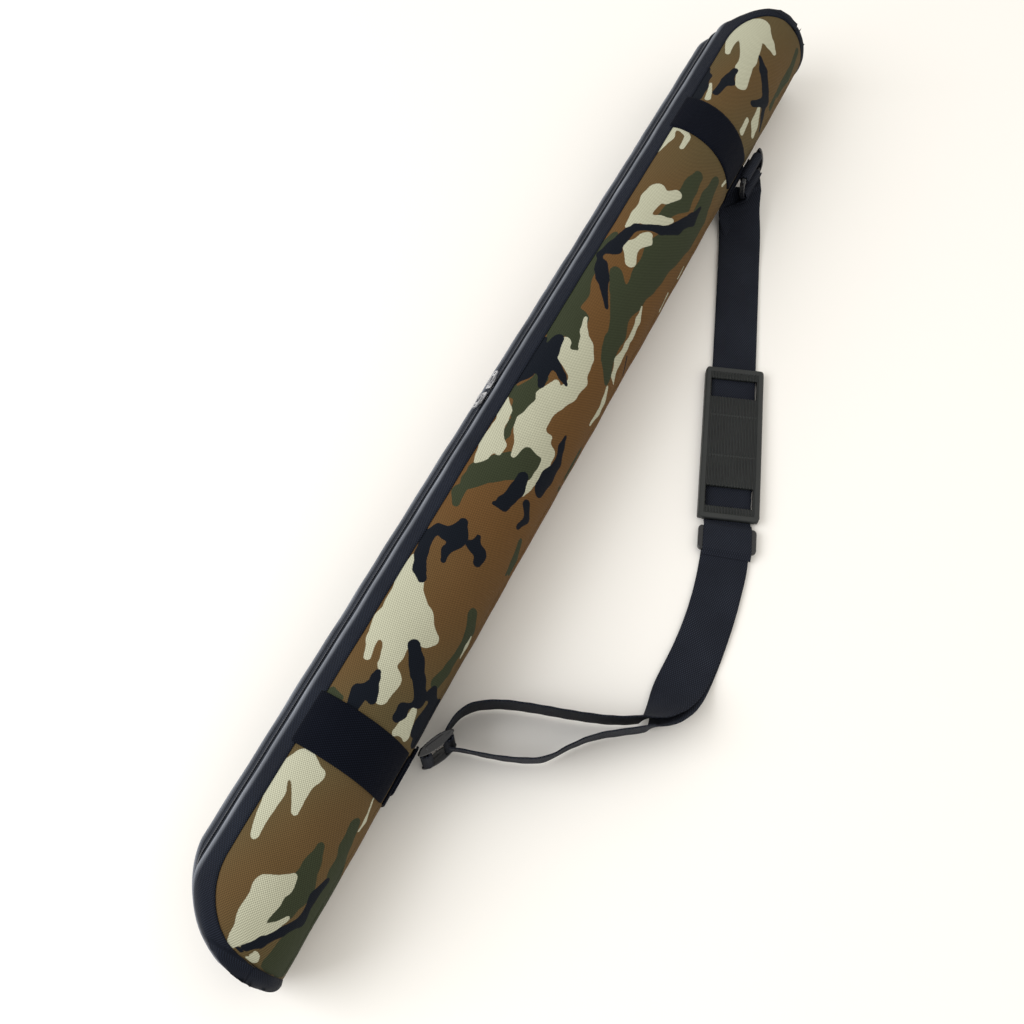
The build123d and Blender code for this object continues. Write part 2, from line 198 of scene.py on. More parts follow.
def ring_radius(from_end, inset):
    """Radius of the section at a distance from the end wall."""
    edge = max(END_ROUND - inset, LEAST_ROUND)
    inside = np.clip(edge - from_end, 0, edge)
    return RADIUS - inset - edge + np.sqrt(edge**2 - inside**2)


def side_limit(from_end, inset):
    """How far the outline reaches towards the zip at a distance from the end wall."""
    corner = CORNER - inset
    left = np.clip(corner - from_end, 0, corner)
    return RADIUS - inset - corner + np.sqrt(np.maximum(corner**2 - left**2, 0)) + SIDE_SLACK


def softness_of(radius, limit):
    """How softly the round wall turns into the outline."""
    return min(MOST_SOFTNESS, max(0.0, 0.5 * (radius - limit)))


def section(from_end, inset, turns):
    """Points across the case in the panel's plane: towards the zip, and out of the lid."""
    radius = ring_radius(from_end, inset)
    limit = side_limit(from_end, inset)
    side, height = radius * np.cos(turns), radius * np.sin(turns)
    softness = softness_of(radius, limit)
    side = soft_min(side, limit, softness) if softness > 0 else np.minimum(side, limit)
    return side, height


def to_row(x, side, height, inset=0.0):
    """Panel coordinates to the row frame. The wall is pressed flat where it lies on the floor."""
    y = side * math.cos(TILT) - height * math.sin(TILT)
    z = AXIS_Z + side * math.sin(TILT) + height * math.cos(TILT)
    return join(x, y, np.maximum(z, inset))


WALL_STEPS = np.array([1.0, 0.8, 0.6, 0.4, 0.25, 0.12, 0.05])
ENDS = np.concatenate(
    [
        np.array([0, 0.0002, 0.0007, 0.0015, 0.0025, 0.004, 0.0055, 0.008, 0.0110]),
        np.linspace(0.0135, 0.078, 26),
    ]
)
MIDDLE = np.linspace(-0.422, 0.422, 470)[1:-1]


def middle_rows(half):
    """Stations along the straight part, between the two ends."""
    return MIDDLE * (half - ENDS[-1]) / (HALF - ENDS[-1])


def stations(inset):
    """Distance along the case and share of the end wall for each row of points."""
    half = HALF - inset
    low_end = -half + ENDS
    wall_at = np.full(len(WALL_STEPS), half)
    x = np.concatenate([-wall_at, low_end, middle_rows(half), -low_end[::-1], wall_at])
    wall = np.concatenate([WALL_STEPS, np.zeros(2 * len(ENDS) + len(MIDDLE)), WALL_STEPS[::-1]])
    return x, wall


def window_side(x, side, margin, corner):
    """How far the printed panel reaches towards the zip."""
    past = np.clip(np.abs(x) - (HALF - margin - corner), 0, corner)
    return side - corner + np.sqrt(corner**2 - past**2)


def half_grid(sign, inset, zip_rim, spine_rim, window, border_columns, panel_columns):
    """Rows of points over one half of the wall, from the zip rim to the hinge rim.

    Returns the points, the distance across from the zip rim, and that of the panel's edge."""
    xs, walls = stations(inset)
    half = HALF - inset
    if sign > 0:
        turns = np.linspace(0, math.pi, 721)
    else:
        turns = np.linspace(math.pi / 2, -1.5 * math.pi, 1441)
    eased = 0.5 - 0.5 * np.cos(math.pi * np.linspace(0, 1, border_columns + 1))
    plain = np.linspace(0, 1, panel_columns + 1)
    points = np.zeros((len(xs), border_columns + panel_columns + 1, 3))
    across = np.zeros(points.shape[:2])
    edge = np.zeros(len(xs))
    for row, (x, wall) in enumerate(zip(xs, walls)):
        side, height = section(half - abs(x), inset, turns)
        rim = np.interp(side, RIM_CHANGE, [spine_rim, zip_rim])
        index = np.nonzero(sign * height >= sign * rim)[0]
        # the longest unbroken run of points
        runs = np.split(index, np.nonzero(np.diff(index) > 1)[0] + 1)
        index = max(runs, key=len)
        side, height = side[index], height[index]
        step = np.hypot(np.diff(side), np.diff(height))
        run = np.concatenate([[0], np.cumsum(step)])
        reach = window_side(x, *window)
        past = np.nonzero(side >= reach)[0]
        at = run[past[-1]] if len(past) else run[0]
        at = min(max(at, LEAST_BORDER), run[-1] - LEAST_BORDER)
        marks = np.concatenate([at * eased, at + (run[-1] - at) * plain[1:]])
        s, h = np.interp(marks, run, side), np.interp(marks, run, height)
        if wall > 0:
            share = marks / run[-1]
            flat_s = s[0] + (s[-1] - s[0]) * share
            flat_h = np.interp(flat_s, RIM_CHANGE, [spine_rim, zip_rim])
            s, h = s + (flat_s - s) * wall, h + (flat_h - h) * wall
        points[row] = to_row(x, s, h, inset)
        across[row] = marks
        edge[row] = at
    return points, across, edge


def outward(points, sign):
    """Normals of a grid of points."""
    along = np.gradient(points, axis=0)
    across = np.gradient(points, axis=1)
    normal = np.cross(across, along) * sign
    length = np.linalg.norm(normal, axis=-1, keepdims=True)
    normal /= np.maximum(length, 1e-12)
    middle = points - np.array([0, 0, AXIS_Z])
    middle[..., 0] *= 0.2
    wrong = (normal * middle).sum(-1) < 0
    normal[wrong] *= -1
    return normal


def grid_uv(points, across):
    """Cloth coordinates in metres: along the case and round it."""
    run = run_along(points[:, points.shape[1] // 2])
    run -= run[-1] / 2
    return join(run[:, None], across)


# ---------- the printed pattern
# Strokes of each colour, placed on the photograph's patches and carried onto the cloth through
# the camera's fit. Each point is a distance along the case, a distance round it from +Y and a half
# width, in millimetres.
CREAM_STROKES = (
    ((-194, 67, 3.4), (-209, 72, 10), (-228, 77, 14), (-241, 83, 18)),
    ((-241, 85, 18), (-239, 104, 8), (-237, 112, 4)), ((-244, 70, 8), (-261, 70, 4), (-275, 74, 2.8)),
    ((-251, 89, 9), (-263, 90, 8), (-273, 88, 5)), ((-274, 92, 6), (-281, 97, 8), (-295, 100, 5)),
    ((-288, 127, 1.8), (-295, 129, 2.9)), ((-290, 128, 3.1), (-302, 129, 6), (-311, 123, 2.6)),
    ((-302, 129, 5), (-307, 136, 3.6)), ((-363, 76, 12), (-364, 87, 6)),
    ((-368, 65, 5), (-387, 67, 7), (-417, 72, 3.4)), ((-371, 82, 9), (-392, 87, 2.9)),
    ((-443, 95, 7), (-435, 108, 6), (-429, 111, 2.9)),
    ((-448, 101, 11), (-464, 99, 9), (-477, 97, 5), (-484, 96, 2.8)),
    ((-456, 101, 8.5), (-470, 103, 4.7), (-479, 102, 2.8)),
    ((-454, 122, 2.1), (-463, 116, 3.1), (-474, 108, 3.3)), ((-483, 115, 3.7), (-487, 112, 2.8)),
    ((-356, 139, 1), (-372, 143, 1.5), (-381, 142, 1)),
    ((-59, 68, 6), (-73, 69, 9), (-88, 70, 5), (-95, 68, 1.7)),
    ((-50, 88, 6), (-59, 92, 6), (-76, 91, 2.3)), ((-74, 79, 3.7), (-82, 80, 2)),
    ((-92, 114, 3.4), (-100, 115, 2)), ((-189, 64, 3), (-202, 67, 7), (-207, 70, 8)),
    ((38, 80, 5), (25, 82, 6), (26, 98, 12), (14, 107, 7),
     (0, 105, 7), (-16, 97, 9), (-33, 89, 7), (-44, 82, 4)),
    ((69, 85, 1.5), (56, 90, 2.7), (45, 97, 6), (37, 104, 5)), ((15, 112, 3.2), (7, 109, 2.9)),
    ((-1, 91, 3.2), (-16, 88, 6)), ((-32, 60, 2), (-44, 66, 5), (-52, 69, 5)),
    ((-50, 92, 12), (-56, 109, 8), (-55, 117, 5), (-65, 120, 4), (-80, 118, 3.1), (-93, 115, 3.1)),
    ((-25, 95, 9), (-38, 94, 9)), ((3, 105, 6), (13, 109, 5)), ((-52, 105, 9), (-44, 110, 2)),
    ((90, 132, 1.5), (75, 132, 3.1), (58, 132, 4), (45, 138, 2.4), (42, 145, 1)),
    ((32, 138, 2.1), (22, 143, 3.3), (10, 146, 2.7), (-3, 144, 1.8)),
    ((307, 62, 3.7), (289, 62, 5), (271, 61, 2)), ((293, 80, 3), (281, 79, 2.3)),
    ((304, 70, 5), (297, 80, 2.3)), ((223, 81, 8), (212, 80, 9), (191, 79, 7), (174, 75, 3.1)),
    ((231, 98, 5), (219, 91, 6)), ((205, 107, 2.2), (196, 98, 5), (189, 88, 6)),
    ((175, 96, 3.5), (170, 94, 5), (155, 86, 6), (141, 94, 5)), ((169, 99, 3.1), (167, 94, 5)),
    ((114, 124, 1), (102, 128, 2.8), (85, 133, 2.2)), ((190, 152, 1.6), (178, 153, 1.3)),
    ((156, 151, 1.6), (138, 154, 1.6)), ((-215, 145, 1), (-223, 147, 1.8), (-233, 149, 1)),
    ((-211, 74, 8), (-222, 84, 8), (-227, 97, 6), (-235, 109, 2.6)),
    ((453, 66, 9), (462, 85, 9), (449, 102, 5), (444, 111, 2.8)), ((444, 64, 7), (414, 70, 2.8)),
    ((442, 83, 12), (416, 92, 8), (401, 92, 8), (383, 98, 6)), ((367, 71, 1.4), (348, 77, 2.7)),
    ((382, 127, 2.5), (367, 135, 6), (359, 141, 3.9)), ((359, 123, 2.8), (343, 123, 3.3)),
    ((293, 139, 1.6), (283, 138, 1.4)), ((363, 166, 1.7), (357, 166, 1.4)),
)
GREEN_STROKES = (
    ((-308, 64, 4), (-310, 72, 3.2)),
    ((-404, 116, 3.4), (-416, 118, 6), (-433, 121, 11), (-450, 116, 7), (-462, 109, 2.8)),
    ((-395, 137, 6), (-415, 149, 8), (-438, 159, 11), (-462, 151, 13), (-479, 142, 10)),
    ((-411, 143, 9.9), (-427, 156, 15), (-451, 155, 17), (-472, 153, 14)),
    ((-453, 144, 9.7), (-470, 137, 9.6), (-483, 130, 5.7)),
    ((-449, 119, 6.2), (-457, 114, 3.5), (-464, 110, 2)), ((-472, 139, 10), (-483, 128, 6)),
    ((-379, 134, 5), (-394, 139, 6)), ((-112, 71, 8), (-97, 85, 9), (-80, 101, 11), (-70, 116, 9)),
    ((-125, 68, 6), (-135, 72, 3.6)), ((-102, 70, 6), (-96, 75, 6), (-79, 89, 4)),
    ((-51, 77, 3.1), (-63, 78, 2.8), (-75, 76, 1.4)),
    ((-128, 139, 2.3), (-141, 146, 3.4), (-152, 151, 2.5)),
    ((114, 60, 11), (91, 63, 13), (66, 64, 11), (49, 62, 8)), ((64, 78, 11), (45, 86, 7), (36, 90, 5)),
    ((46, 71, 6), (34, 65, 3.6)), ((122, 88, 6), (99, 105, 9), (77, 115, 9), (56, 119, 7), (40, 131, 5)),
    ((8, 72, 3.2), (-3, 78, 5), (-23, 76, 11), (-40, 76, 7)), ((-19, 60, 3.2), (-28, 63, 2.9)),
    ((65, 114, 7), (48, 120, 5), (35, 133, 3.3)), ((-67, 99, 5), (-72, 110, 5), (-83, 105, 7)),
    ((-25, 153, 3), (-52, 156, 3.6)), ((-64, 155, 3), (-64, 155, 3)),
    ((263, 107, 5), (247, 107, 7), (227, 107, 8), (206, 99, 4), (200, 94, 1.9)),
    ((277, 127, 5), (258, 127, 6), (238, 133, 10), (207, 132, 11), (176, 123, 12), (152, 118, 13)),
    ((161, 67, 3.1), (136, 61, 4), (114, 63, 6)), ((252, 106, 6), (229, 104, 7), (207, 99, 4)),
    ((273, 125, 3.3), (255, 128, 7), (234, 131, 9), (211, 129, 9)),
    ((187, 119, 15), (163, 114, 16), (137, 114, 14), (114, 112, 11), (91, 110, 9), (76, 117, 9)),
    ((124, 86, 5), (109, 96, 6), (101, 107, 9)),
    ((-203, 132, 6), (-214, 140, 6), (-229, 142, 4), (-247, 139, 5), (-262, 135, 6)),
    ((-130, 139, 2.3), (-146, 145, 2.5), (-157, 146, 1.4)), ((478, 136, 4), (452, 143, 6), (425, 142, 5)),
    ((418, 140, 2.9), (405, 144, 4)),
)
BLACK_STROKES = (
    ((-250, 101, 4), (-262, 110, 5), (-269, 112, 2.9)), ((-273, 118, 2.1), (-281, 129, 3.9)),
    ((-280, 87, 2.1), (-285, 88, 2.8), (-295, 91, 4), (-300, 94, 2.5)),
    ((-295, 87, 2.3), (-304, 85, 4), (-312, 85, 3.5)), ((-193, 71, 2.7), (-204, 80, 1.6)),
    ((-282, 127, 1.6), (-293, 117, 2.8), (-302, 117, 2.3)),
    ((-486, 101, 2.3), (-473, 114, 2.8), (-462, 125, 3.1),
     (-449, 136, 3.9), (-433, 135, 4), (-420, 138, 3)),
    ((-300, 82, 5), (-311, 83, 3.8)), ((-294, 90, 5), (-299, 95, 3.1)),
    ((-296, 121, 3.6), (-302, 119, 2.6)),
    ((-88, 107, 5), (-100, 109, 6), (-116, 106, 4), (-121, 97, 1.7)), ((-115, 102, 4), (-108, 108, 5)),
    ((-104, 123, 4), (-112, 132, 2.8), (-123, 127, 2.5)),
    ((-160, 68, 3.3), (-162, 78, 5), (-158, 85, 8), (-147, 85, 4)),
    ((-165, 88, 5), (-174, 85, 3), (-182, 87, 2.4)),
    ((-168, 66, 6), (-184, 68, 5), (-196, 73, 3.8), (-203, 80, 2.4)),
    ((-152, 101, 2.2), (-160, 102, 4), (-162, 109, 5), (-169, 110, 3.8)),
    ((-160, 98, 2.7), (-161, 102, 3)), ((126, 71, 4), (114, 78, 4), (88, 95, 1)),
    ((38, 73, 5), (23, 74, 7), (6, 76, 5), (-9, 82, 2.6)), ((14, 83, 5), (8, 93, 3.5), (4, 99, 1.8)),
    ((17, 63, 8), (-3, 62, 8), (-15, 60, 3.2)), ((35, 62, 3), (23, 62, 6)),
    ((71, 141, 1.4), (60, 152, 1.2)),
    ((-33, 124, 1.3), (-43, 125, 3.2), (-56, 130, 4), (-72, 129, 7), (-84, 127, 7)),
    ((243, 127, 1), (224, 124, 5), (202, 115, 5), (187, 101, 4), (177, 82, 3.1),
     (161, 75, 3.8), (146, 72, 5), (137, 65, 2.5), (121, 72, 3.1), (111, 80, 2.8)),
    ((145, 79, 3.7), (150, 72, 3.7)), ((169, 77, 4), (144, 75, 5)),
    ((126, 72, 4), (112, 82, 1.8), (87, 96, 1)),
    ((-251, 99, 2.9), (-258, 109, 5), (-269, 120, 5), (-279, 128, 6)), ((-272, 137, 5), (-272, 137, 5)),
    ((386, 60, 3.9), (361, 64, 6), (347, 67, 5)), ((377, 66, 3.3), (369, 61, 5)),
    ((395, 85, 3.1), (377, 84, 4), (358, 80, 3.3)), ((379, 90, 3.3), (384, 85, 3.3)),
    ((428, 99, 1.7), (418, 110, 4), (402, 125, 5), (384, 138, 3.9), (376, 148, 2.3)),
    ((378, 118, 3.3), (398, 133, 5)), ((-268, 138, 4), (-276, 148, 6), (-287, 146, 7), (-298, 141, 5)),
    ((-272, 156, 6), (-290, 157, 9), (-304, 152, 7)),
    ((-284, 144, 5.3), (-293, 141, 5.3), (-302, 142, 2.6)),
)
PRINT = {"cream": CREAM_STROKES, "green": GREEN_STROKES, "black": BLACK_STROKES}
ROUND = 160.0  # mm: the pattern repeats round the case, shifted along it
REPEAT_SHIFT = 230.0  # mm
MELT = 4.0  # mm: strokes of one colour run together over this


def print_fields(points):
    """How deep each point lies inside each printed colour, in metres."""
    x = points[..., 0] * 1000
    angle = np.arctan2(points[..., 2] - AXIS_Z, points[..., 1])
    angle = np.where(angle < math.radians(-90), angle + 2 * math.pi, angle)
    v = angle * RADIUS * 1000
    band = np.floor((v - 10) / ROUND)
    v = v - band * ROUND
    x = np.where(band == 0, x, ((x + REPEAT_SHIFT * band + 500) % 1000) - 500)
    # cloth print edges wander a little
    x = x + 0.7 * np.sin(v / 5.1 + x / 17)
    v = v + 0.7 * np.sin(x / 6.3 + v / 19)
    fields = {}
    for colour, strokes in PRINT.items():
        best = np.full(x.shape, -50.0)
        for stroke in strokes:
            for (x0, v0, r0), (x1, v1, r1) in zip(stroke, stroke[1:]):
                dx, dv = x1 - x0, v1 - v0
                share = ((x - x0) * dx + (v - v0) * dv) / max(dx * dx + dv * dv, 1e-6)
                share = np.clip(share, 0, 1)
                away = np.hypot(x - x0 - share * dx, v - v0 - share * dv)
                depth = r0 + (r1 - r0) * share - away
                h = np.maximum(MELT - np.abs(depth - best), 0) / MELT
                best = np.maximum(depth, best) + h * h * MELT / 4
        fields[colour] = best / 1000
    far = np.clip((np.abs(points[..., 0]) - 0.14) / 0.16, 0, 1)
    fields["olive"] = far * (0.75 + 0.25 * np.sin(points[..., 0] * 31 + points[..., 1] * 47))
    return fields


# ---------- materials
def node(tree, kind, **settings):
    made = tree.nodes.new(kind)
    for key, value in settings.items():
        setattr(made, key, value)
    return made


def math_node(tree, operation, a, b=None, c=None):
    made = node(tree, "ShaderNodeMath", operation=operation)
    for index, value in enumerate((a, b, c)):
        if value is None:
            continue
        if isinstance(value, (int, float)):
            made.inputs[index].default_value = value
        else:
            tree.links.new(value, made.inputs[index])
    return made.outputs[0]


def mix_colour(tree, factor, a, b):
    made = node(tree, "ShaderNodeMix", data_type="RGBA")
    for socket, value in ((made.inputs[0], factor), (made.inputs[6], a), (made.inputs[7], b)):
        if isinstance(value, (int, float)):
            socket.default_value = value
        elif isinstance(value, tuple):
            socket.default_value = (*value, 1)
        else:
            tree.links.new(value, socket)
    return made.outputs[2]


def new_material(name, roughness, **sockets):
    material = bpy.data.materials.new(name)
    material.use_nodes = True
    tree = material.node_tree
    shader = tree.nodes["Principled BSDF"]
    shader.inputs["Roughness"].default_value = roughness
    for key, value in sockets.items():
        shader.inputs[key.replace("_", " ")].default_value = value
    return material, tree, shader


def noise_node(tree, vector, scale, detail=3.0, rough=0.5):
    made = node(tree, "ShaderNodeTexNoise")
    made.inputs["Scale"].default_value = scale
    made.inputs["Detail"].default_value = detail
    made.inputs["Roughness"].default_value = rough
    tree.links.new(vector, made.inputs["Vector"])
    return made.outputs["Fac"]


def weave(tree, pitch, across_pitch=None):
    """Height of a plain weave from the cloth coordinates, 0 to 1."""
    uv = node(tree, "ShaderNodeUVMap", uv_map="cloth").outputs[0]
    split = node(tree, "ShaderNodeSeparateXYZ")
    tree.links.new(uv, split.inputs[0])
    u = math_node(tree, "MULTIPLY", split.outputs[0], 2 * math.pi / pitch)
    v = math_node(tree, "MULTIPLY", split.outputs[1], 2 * math.pi / (across_pitch or pitch))
    wave = math_node(tree, "MULTIPLY", math_node(tree, "SINE", u), math_node(tree, "SINE", v))
    return math_node(tree, "MULTIPLY_ADD", wave, 0.5, 0.5)


def add_bump(tree, shader, height, strength, distance):
    bump = node(tree, "ShaderNodeBump")
    bump.inputs["Strength"].default_value = strength
    bump.inputs["Distance"].default_value = distance
    tree.links.new(height, bump.inputs["Height"])
    tree.links.new(bump.outputs[0], shader.inputs["Normal"])


def object_vector(tree):
    return node(tree, "ShaderNodeTexCoord").outputs["Object"]


CREAM = (0.45, 0.455, 0.345)
BROWN = (0.118, 0.060, 0.020)
OLIVE = (0.088, 0.070, 0.032)
GREEN = (0.034, 0.042, 0.022)
INK = (0.0038, 0.0062, 0.0115)
# Lighter grey along the border's folded edge: partly wear, partly a painted highlight where the ridge
# catches the light.
RIDGE_WEAR_AND_HIGHLIGHT = (0.25, 0.27, 0.31)


def camouflage():
    material, tree, shader = new_material(
        "camouflage_cloth", 0.85, Sheen_Weight=0.02, Sheen_Roughness=0.5, Specular_IOR_Level=0.10
    )
    height = weave(tree, 0.0019)
    where = object_vector(tree)
    ragged = math_node(tree, "MULTIPLY_ADD", noise_node(tree, where, 420, 2), 0.0006, -0.0003)
    olive = node(tree, "ShaderNodeAttribute", attribute_name="olive").outputs["Fac"]
    colour = mix_colour(tree, olive, BROWN, OLIVE)
    faded = math_node(tree, "MULTIPLY", noise_node(tree, where, 14, 2), 0.20)
    colour = mix_colour(tree, faded, colour, tuple(c * 1.5 for c in BROWN))
    for key, paint in (("green", GREEN), ("cream", CREAM), ("black", INK)):
        field = node(tree, "ShaderNodeAttribute", attribute_name=key).outputs["Fac"]
        edge = math_node(tree, "MULTIPLY_ADD", math_node(tree, "ADD", field, ragged), 2600.0, 0.5)
        edge = math_node(tree, "MINIMUM", math_node(tree, "MAXIMUM", edge, 0.0), 1.0)
        colour = mix_colour(tree, edge, colour, paint)
    thread = math_node(tree, "MULTIPLY_ADD", height, 0.80, 0.50)
    shade = node(tree, "ShaderNodeMix", data_type="RGBA", blend_type="MULTIPLY")
    shade.inputs[0].default_value = 1.0
    tree.links.new(colour, shade.inputs[6])
    combine = node(tree, "ShaderNodeCombineColor")
    for index in range(3):
        tree.links.new(thread, combine.inputs[index])
    tree.links.new(combine.outputs[0], shade.inputs[7])
    tree.links.new(shade.outputs[2], shader.inputs["Base Color"])
    add_bump(tree, shader, height, 0.7, 0.0004)
    return material


def black_cloth(name, dark, light, pitch, across=None, rough=0.7, shine=0.12):
    material, tree, shader = new_material(
        name, rough, Sheen_Weight=0.01, Sheen_Roughness=0.45, Specular_IOR_Level=shine
    )
    height = weave(tree, pitch, across)
    where = object_vector(tree)
    glint = math_node(tree, "POWER", height, 3.0)
    patch = noise_node(tree, where, 30, 3)
    glint = math_node(tree, "MULTIPLY", glint, math_node(tree, "MULTIPLY_ADD", patch, 1.0, 0.25))
    ridge_wear_and_highlight = node(tree, "ShaderNodeAttribute", attribute_name="ridge_wear_and_highlight").outputs["Fac"]
    colour = mix_colour(tree, glint, dark, light)
    # Mixes in the lighter grey along the folded edge: wear and a painted highlight on the ridge.
    wear_and_highlight = math_node(tree, "MULTIPLY", ridge_wear_and_highlight, math_node(tree, "MULTIPLY_ADD", patch, 1.0, 0.3))
    colour = mix_colour(tree, wear_and_highlight, colour, RIDGE_WEAR_AND_HIGHLIGHT)
    tree.links.new(colour, shader.inputs["Base Color"])
    add_bump(tree, shader, height, 0.8, 0.0004)
    return material


def smooth_black(name, colour, rough, grain=900, depth=0.00005, **sockets):
    material, tree, shader = new_material(name, rough, **sockets)
    where = object_vector(tree)
    fine = noise_node(tree, where, grain, 3)
    broad = noise_node(tree, where, 40, 3)
    tint = mix_colour(tree, broad, tuple(c * 0.8 for c in colour), tuple(c * 1.35 for c in colour))
    tree.links.new(tint, shader.inputs["Base Color"])
    rough_map = math_node(tree, "MULTIPLY_ADD", fine, 0.16, rough - 0.08)
    tree.links.new(rough_map, shader.inputs["Roughness"])
    add_bump(tree, shader, fine, 0.5, depth)
    return material


CAMO = camouflage()
BORDER = black_cloth("black_cloth", (0.0015, 0.0026, 0.0066), (0.026, 0.036, 0.062), 0.0019)
WEBBING = black_cloth(
    "webbing", (0.0056, 0.0068, 0.0115), (0.040, 0.049, 0.072), 0.0030, 0.0020, rough=0.75, shine=0.10
)
BAND_WEBBING = black_cloth(
    "band_webbing", (0.0014, 0.0021, 0.0050), (0.010, 0.013, 0.024), 0.0026, 0.0019, rough=0.8, shine=0.05
)
ZIP_TAPE = black_cloth("zip_tape", (0.010, 0.013, 0.020), (0.060, 0.070, 0.100), 0.0012, 0.0009)
LINING_CLOTH = black_cloth("lining", (0.030, 0.031, 0.034), (0.07, 0.072, 0.078), 0.0011)
COIL = smooth_black("zip_coil", (0.022, 0.026, 0.036), 0.35, Specular_IOR_Level=0.6)
FOAM_RUBBER = smooth_black("foam", (0.050, 0.050, 0.052), 0.9, grain=1500, depth=0.0002)
PAD_RUBBER = smooth_black(
    "pad_rubber", (0.0180, 0.0205, 0.0210), 0.5, grain=1400, Specular_IOR_Level=0.35
)
RING_PLASTIC = smooth_black(
    "ring_plastic", (0.004, 0.005, 0.008), 0.25, grain=700, Specular_IOR_Level=0.6
)
NICKEL = smooth_black("nickel", (0.44, 0.45, 0.48), 0.40, grain=300, depth=0.000001, Metallic=0.9)


def paint(obj, material):
    obj.data.materials.clear()
    obj.data.materials.append(material)


def place(made, material, body, node_name=None):
    """A piece's material, the body it rides on, and the CAD node it stands for."""
    paint(made, material)
    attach(made, body)
    if node_name:
        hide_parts(node_name)


# ---------- strap, on its route
DESCENT = [
    (0.3405, -0.0650, 0.0215),
    (0.3380, -0.0625, 0.0185),
    (0.3260, -0.0600, 0.0155),
    (0.3110, -0.0625, 0.0115),
    (0.2940, -0.0720, 0.0050),
]
# x along the descent, the width's angle from +X, and how far the outer edge is lifted, in degrees
TURNED = ((0.2620, 0.2940, 0.3110, 0.3250, 0.3390), (69.5, 67.0, 60.0, 40.0, 0.0))
LIFTED = ((0.2620, 0.2940, 0.3110, 0.3250, 0.3390), (0.0, 7.0, 18.0, 12.0, 0.0))
MAIN_FLAT = [
    (0.2620, -0.0845),
    (0.1635, -0.1214),
    (-0.0110, -0.1863),
    (-0.0520, -0.1990),
    (-0.0980, -0.2065),
    (-0.1480, -0.2080),
]
MAIN_EDGE = [
    (-0.1960, -0.2010),
    (-0.2120, -0.1760),
    (-0.2230, -0.1465),
    (-0.2350, -0.1070),
    (-0.2440, -0.0840),
    (-0.2570, -0.0660),
    (-0.2750, -0.0607),
    (-0.2832, -0.0614),
]
RETURN_FLAT = [(-0.0240, -0.1906), (-0.0520, -0.1990), (-0.0980, -0.2065), (-0.1515, -0.2098)]
RETURN_EDGE = [
    (-0.2005, -0.2070),
    (-0.2150, -0.1870),
    (-0.2310, -0.1645),
    (-0.2490, -0.1495),
    (-0.2660, -0.1390),
    (-0.2760, -0.1190),
    (-0.2835, -0.0970),
    (-0.2885, -0.0775),
    (-0.2916, -0.0708),
]
STANDING = 0.0034 + WEB / 2
LYING = 0.0020 + WEB_THICK / 2
UNDER = 0.0004 + WEB_THICK / 2


def nurbs(name, route):
    """The route's smooth line as points, and its length."""
    data = bpy.data.curves.new(name, "CURVE")
    data.dimensions = "3D"
    data.resolution_u = 24
    spline = data.splines.new("NURBS")
    spline.points.add(len(route) - 1)
    for point, at in zip(spline.points, route):
        point.co = (*at, 1)
    spline.order_u = 3
    spline.use_endpoint_u = True
    holder = bpy.data.objects.new(name, data)
    mesh = bpy.data.meshes.new_from_object(holder)
    points = np.array([v.co[:] for v in mesh.vertices])
    bpy.data.objects.remove(holder)
    bpy.data.curves.remove(data)
    bpy.data.meshes.remove(mesh)
    return points, float(np.linalg.norm(np.diff(points, axis=0), axis=1).sum())


def strap_ribbon(name, path, roll, width=WEB, thick=WEB_THICK, turns=TURNED):
    """Webbing along a line. roll is 0 where it lies flat and 90 degrees where it stands on edge."""
    ahead = np.gradient(path, axis=0)
    ahead /= np.linalg.norm(ahead, axis=1, keepdims=True)
    level = ahead.copy()
    level[:, 2] = 0
    level /= np.linalg.norm(level, axis=1, keepdims=True)
    side = np.stack([-level[:, 1], level[:, 0], np.zeros(len(path))], axis=1)
    turned = np.radians(np.interp(path[:, 0], *turns))
    hung = np.stack([np.cos(turned), -np.sin(turned), np.zeros(len(path))], axis=1)
    side = np.where(path[:, :1] > turns[0][0], hung, side)
    wide = side * np.cos(roll)[:, None] + np.array([0, 0, 1]) * np.sin(roll)[:, None]
    face = np.cross(wide, ahead)
    face /= np.linalg.norm(face, axis=1, keepdims=True)
    run = run_along(path)
    shares = np.array([-1, -0.97, -0.85, -0.6, -0.3, 0, 0.3, 0.6, 0.85, 0.97, 1])
    depth = np.array([0.25, 0.8, 1, 1, 1, 1, 1, 1, 1, 0.8, 0.25]) * thick / 2
    ripple = 0.00012 * np.sin(run[:, None] * 400 + shares[None] * 2) * np.abs(shares)[None]
    centre = path[:, None] + wide[:, None] * (shares * width / 2)[None, :, None]
    centre = centre + face[:, None] * ripple[..., None]
    top = centre + face[:, None] * depth[None, :, None]
    bottom = centre - face[:, None] * depth[None, :, None]
    made = slab_mesh(name, top, bottom, join(run[:, None], (shares * width / 2)[None]))
    paint(made, WEBBING)
    return made


def roll_by_height(path, lying, lean):
    """Roll of a strap that rises from the floor onto its edge, short of upright by the lean."""
    share = np.clip((path[:, 2] - lying) / (STANDING - lying), 0, 1)
    roll = np.arcsin(share)
    lifted = np.radians(np.interp(path[:, 0], *LIFTED))
    return np.where(path[:, 0] < -0.140, np.minimum(roll, math.pi / 2 - lean), lifted)


main_route = [
    *DESCENT,
    (*MAIN_FLAT[0], LYING),
    (*MAIN_FLAT[1], LYING),
    (0.0000, -0.1822, LYING),
    (-0.0110, -0.1863, 0.0045),
    (-0.0195, -0.1892, 0.0078),
    (-0.0285, -0.1924, 0.0045),
    (-0.0400, -0.1960, LYING),
    *((*at, LYING) for at in MAIN_FLAT[3:]),
    *((*at, STANDING) for at in MAIN_EDGE),
]
main_path, main_length = nurbs("strap_main_line", main_route)
main_roll = roll_by_height(main_path, LYING, math.radians(6))
strap_main = strap_ribbon("strap_main_ribbon", main_path, main_roll)
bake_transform(strap_main)
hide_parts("strap_main")

